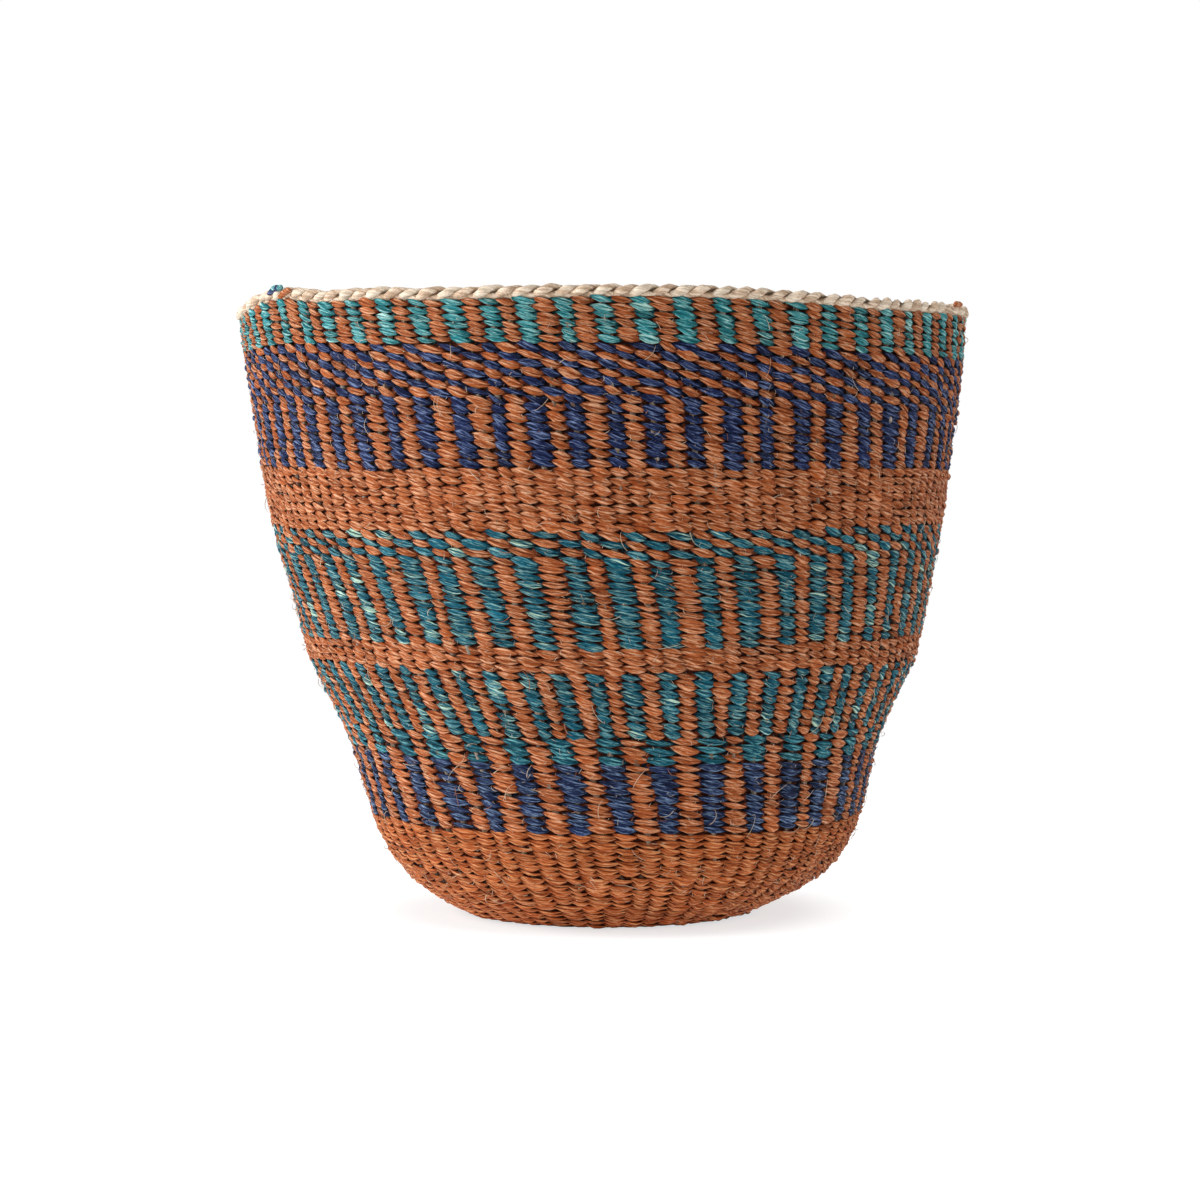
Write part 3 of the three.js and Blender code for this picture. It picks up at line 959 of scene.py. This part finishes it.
# The warps of each set of columns, from its first band to its last
def buildWarps():
    stretches = [warpPaths("footInner", warps["from"], footLength, every=2)]
    for setName in columnSets:
        names = [name for name in bands if bands[name]["columns"] == setName]
        stretches.append(warpPaths(setName, bandSpan(names[0])[0], bandSpan(names[-1])[1]))
    paths = np.concatenate(stretches)
    # The warps get painted shade all along, as deep in the weave
    part = strandPart(paths, warps["radius"], "warp", warps["sides"], warps["twist"], depth=0.0)
    buildPiece("warps", [part, bulgePart()], "warp")


buildWarps()

# The rim's cord: the radius and swell of its strands, how wide and high they swing round its
# middle, the core in it, the knot's angle in degrees, how the strands hurry and lump in waves of a
# swing, how often round and whether each has its own, and the painted shade near the middle
rim = {
    "strand": 1.45,
    "swell": 0.4,
    "wide": 1.6,
    "high": 1.05,
    "middle": 2.0,
    "core": 1.5,
    "coreHeight": 0.8,
    "knot": -57.0,
    "pointsPerTurn": 16,
    "sides": 8,
    "twist": 0.5,
    "hurries": [(0.35, 7, False), (0.3, 19, True)],
    "lumps": [(0.09, 17, True), (0.07, 41, False)],
    "darkWithin": 1.1,
    "clearing": 1.9,
}


# Two strands of natural sisal laid round each other along the top of the wall, a turn for each
# pair of columns, round the ends of the warps that are bent down there
def buildRim():
    turns = columnSets["top"]["pairs"]
    angle = math.radians(rim["knot"]) + np.linspace(0, 2 * math.pi, turns * rim["pointsPerTurn"])
    wallEnd = lengthAtHeight(wallTop)
    paths = [placeOnWall(wallEnd + rim["coreHeight"], angle, 0)]
    radii = [np.full_like(angle, rim["core"])]
    for phase in (0, math.pi):
        spin = angle * turns + phase
        lumps = 1
        for swing, often, own in rim["hurries"]:
            spin = spin + swing * np.sin(angle * often + phase * own)
        for swing, often, own in rim["lumps"]:
            lumps = lumps + swing * np.sin(angle * often + phase * own)
        length = wallEnd + rim["middle"] + rim["high"] * np.sin(spin) * lumps
        paths.append(placeOnWall(length, angle, rim["wide"] * np.cos(spin) * lumps))
        radii.append(lumps * (rim["strand"] + rim["swell"] * (np.cos(spin) ** 2 - 0.5)))
    middle = placeOnWall(wallEnd + rim["middle"], angle, 0)
    part = strandPart(paths, np.array(radii), "natural", rim["sides"], rim["twist"], middle=middle)
    buildPiece("rim_cord_strands", [part], "natural", "rim_cord")


buildRim()

startCross = {
    "strands": 7,
    "spacing": 2.7,
    "radius": 1.5,
    "reach": 13.6,
    "level": 2.5,
    "weave": 1.0,
    "points": 18,
    "sides": 8,
    "twist": 0.5,
}


# The first warps, crossed over and under each other in the middle of the base
def buildStart():
    middle = (startCross["strands"] - 1) / 2
    shift = smoothThrough(wallDrift, 0)
    level = startCross["level"]
    paths = []
    for i in range(startCross["strands"]):
        away = (i - middle) * startCross["spacing"]
        half = math.sqrt(startCross["reach"] ** 2 - away**2)
        run = np.linspace(-1, 1, startCross["points"]) * half
        wave = startCross["weave"] * np.cos((run / startCross["spacing"] + i) * math.pi)
        beside = np.full_like(run, away)
        paths.append(np.column_stack([run + shift, beside, level + wave]))
        paths.append(np.column_stack([beside + shift, run, level - wave]))
    radius, sides, twist = (startCross[key] for key in ("radius", "sides", "twist"))
    part = strandPart(paths, radius, "natural", sides, twist)
    part["points"][..., 2] = np.maximum(part["points"][..., 2], 0)
    buildPiece("base_start_cross", [part], "natural", "base_start")


buildStart()

# The yarn ends at the rim: the angle of the middle in degrees, the height over the wall's top, the
# rise and bend over the length, how far the middle stands off and how far the tips curl off it
yarnEnds = table("dye node angle up rise", {
    "end_teal": ("brightTeal", "tail_teal", -56.8, 4.9, 0.3),
    "end_navy": ("navy", "tail_navy", -57.9, 2.9, 2.0),
    "end_terracotta_left": ("terracotta", "tail_terracotta_left", -54.6, 1.6, 3.4),
    "end_terracotta_right": ("terracotta", "tail_terracotta_right", 69.2, 5.0, 3.0),
})
yarnEnd = {
    "radius": 1.16,
    "length": 8.6,
    "bend": 0.8,
    "stand": 3.0,
    "curl": 1.0,
    "taper": 0.55,
    "points": 14,
    "sides": 10,
    "twist": 0.7,
}


# A short yarn end that lies over the rim, with its tips lifting off
def buildEnd(name, end):
    t = np.linspace(-1, 1, yarnEnd["points"])
    angle = math.radians(end["angle"]) + t * yarnEnd["length"] / 2 / bandSizes["topTeal"][1]
    length = lengthAtHeight(wallTop) + end["up"] + end["rise"] / 2 * t
    length = length + yarnEnd["bend"] * (1 - t * t)
    path = placeOnWall(length, angle, yarnEnd["stand"] + yarnEnd["curl"] * t * t)
    radii = yarnEnd["radius"] * (1 - yarnEnd["taper"] * t**4)
    part = strandPart([path], radii, end["dye"], yarnEnd["sides"], yarnEnd["twist"])
    buildPiece(name, [part], end["dye"], end["node"])


for endName, yarnEndValues in yarnEnds.items():
    buildEnd(endName, yarnEndValues)

# Loose fibres: long ones that stand off the outside, and short fuzz that lies on it. They lie
# between the foot and the rim, arch off the wall, and a third of them are dyed.
looseFibres = table("count radius shortest longest from stand curl sides points", {
    "long": (480, 0.12, 4.0, 13.0, 2.2, 1.4, 1.7, 4, 8),
    "short": (2600, 0.11, 1.5, 4.5, 2.05, 0.4, 1.6, 3, 5),
})
fibreLay = {
    "aboveFoot": 28.0,
    "belowTop": 6.0,
    "arches": (0.2, 0.9),
    "lifts": (0, 0.5),
    "thick": 1.2,
    "taper": 0.6,
    "twist": 0.1,
    "dyes": ["natural", "natural", "terracotta"],
}


def fibrePart(kind):
    count = kind["count"]
    t = np.linspace(0, 1, kind["points"])[None, :]

    def between(low, high):
        return random.uniform(low, high, count)[:, None]

    reach = kind["shortest"] + (kind["longest"] - kind["shortest"]) * between(0, 1) ** 2
    angle = between(-math.pi, math.pi)
    top = profile["length"][-1]
    length = between(footLength + fibreLay["aboveFoot"], top - fibreLay["belowTop"])
    turn = between(0, 2 * math.pi) + between(-kind["curl"], kind["curl"]) * t**1.5
    sideways = reach * np.cumsum(np.cos(turn), axis=1) / kind["points"]
    upwards = reach * np.cumsum(np.sin(turn), axis=1) / kind["points"]
    arch = between(*fibreLay["arches"]) * np.sin(math.pi * t)
    proud = kind["from"] + kind["stand"] * (arch + between(*fibreLay["lifts"]) * t)
    paths = placeOnWall(length + upwards, angle + sideways / onProfile(length, "radius"), proud)
    names = list(random.choice(fibreLay["dyes"], count))
    radii = kind["radius"] * (fibreLay["thick"] - fibreLay["taper"] * t)
    return strandPart(paths, radii, names, kind["sides"], fibreLay["twist"])


fibreParts = [fibrePart(kind) for kind in looseFibres.values()]
buildPiece("loose_fibres", fibreParts, "natural")
print("pieces made", flush=True)

# Stage, light and camera: lamps in watts, places in metres. The floor is white to the camera, with
# a painted shadow under the basket, and clear towards its edge; "shadowed" is what its shadow
# takes.
stage = {
    "floorRadius": 1.6,
    "floorSides": 96,
    "floorHeight": -0.0004,
    "matt": (0.9, 0.9, 0.9),
    "roughness": 0.9,
    "fade": (0.5, 0.8),
    "white": 0.86,
    "paintedShadowWhite": 0.66,
    "under": (0.072, 0.108),
    "shadowed": (0.375, 0.4, 0.405),
    "world": 0.5,
}
lamps = table("power size place upward", {
    "key": (46.5, 1.3, (-1.87, -0.46, 0.9)),
    "fill": (12.0, 1.2, (1.75, -0.85, 0.8)),
    "low": (6.2, 0.8, (-0.85, -1.27, 0.13)),
    "bounce": (0.33, 0.5, (0.0, 0.0, 0.0006), True),
})
aim = Vector((0, 0, 0.12))


def mixShaders(tree, share, first, second):
    node = addNode(tree, "ShaderNodeMixShader")
    for place, source in enumerate((share, first.outputs[0], second.outputs[0])):
        tree.links.new(source, node.inputs[place])
    return node


# A white floor that shows only the shadow, plus a painted shadow under the basket, and fades out
# before its edge
def buildFloor():
    bpy.ops.mesh.primitive_circle_add(
        vertices=stage["floorSides"], radius=stage["floorRadius"], fill_type="NGON"
    )
    floor = bpy.context.object
    floor.name = "floor"
    floor.location.z = stage["floorHeight"]
    material = bpy.data.materials.new("floor")
    material.use_nodes = True
    tree = material.node_tree
    link = tree.links.new
    matt = tree.nodes["Principled BSDF"]
    shown = addNode(tree, "ShaderNodeBsdfPrincipled")
    for shader, shade in ((matt, stage["matt"]), (shown, stage["shadowed"])):
        shader.inputs["Base Color"].default_value = (*shade, 1)
        shader.inputs["Roughness"].default_value = stage["roughness"]
        shader.inputs["Specular IOR Level"].default_value = 0.0
    shown.inputs["Emission Color"].default_value = (1, 1, 1, 1)
    path = addNode(tree, "ShaderNodeLightPath")
    place = addNode(tree, "ShaderNodeTexCoord")
    away = addNode(tree, "ShaderNodeVectorMath", operation="LENGTH")
    link(place.outputs["Object"], away.inputs[0])
    far = away.outputs["Value"]
    fade = mapRange(tree, far, stage["fade"], (0.0, 1.0), smooth=True)
    # Painted shadow: within a small radius round the foot the floor's white is dimmed
    whites = (stage["paintedShadowWhite"], stage["white"])
    under = mapRange(tree, far, stage["under"], whites, smooth=True)
    link(under, shown.inputs["Emission Strength"])
    clear = addNode(tree, "ShaderNodeBsdfTransparent")
    seen = mixShaders(tree, path.outputs["Is Camera Ray"], matt, shown)
    blend = mixShaders(tree, fade, seen, clear)
    link(blend.outputs[0], tree.nodes["Material Output"].inputs["Surface"])
    floor.data.materials.append(material)


# White to the camera, a plain fill light to the object
def buildWorld():
    world = bpy.data.worlds.new("studio")
    bpy.context.scene.world = world
    world.use_nodes = True
    tree = world.node_tree
    back = tree.nodes["Background"]
    back.inputs["Color"].default_value = (1, 1, 1, 1)
    path = addNode(tree, "ShaderNodeLightPath")
    seen = mathNode(tree, "MAXIMUM", path.outputs["Is Camera Ray"], path.outputs["Is Glossy Ray"])
    seen = mathNode(tree, "MAXIMUM", seen, path.outputs["Is Transmission Ray"])
    tree.links.new(mapRange(tree, seen, (0.0, 1.0), (stage["world"], 1.0)), back.inputs["Strength"])


def buildLamp(name, values):
    lamp = bpy.data.lights.new(name, "AREA")
    lamp.energy = values["power"]
    lamp.size = values["size"]
    holder = newObject(name, lamp)
    holder.location = values["place"]
    toward = Vector((0, 0, 1)) if values.get("upward") else aim - holder.location
    holder.rotation_euler = toward.to_track_quat("-Z", "Y").to_euler()
    holder.visible_camera = False


# The lens and its sensor in millimetres, the pitch down in degrees, the rest in metres
camera = {
    "distance": 1.3,
    "height": 0.1778,
    "side": -0.0008,
    "pitch": 2.378,
    "lens": 97.5,
    "sensor": 36.0,
}


def buildCamera():
    lens = bpy.data.cameras.new("camera")
    lens.sensor_width = camera["sensor"]
    lens.lens = camera["lens"]
    holder = newObject("camera", lens)
    holder.location = (camera["side"], -camera["distance"], camera["height"])
    holder.rotation_euler = (math.radians(90 - camera["pitch"]), 0, 0)
    bpy.context.scene.camera = holder


buildFloor()
buildWorld()
for lampName, lampValues in lamps.items():
    buildLamp(lampName, lampValues)
buildCamera()
bpy.context.scene.view_settings.view_transform = "Standard"
print("stage made", flush=True)
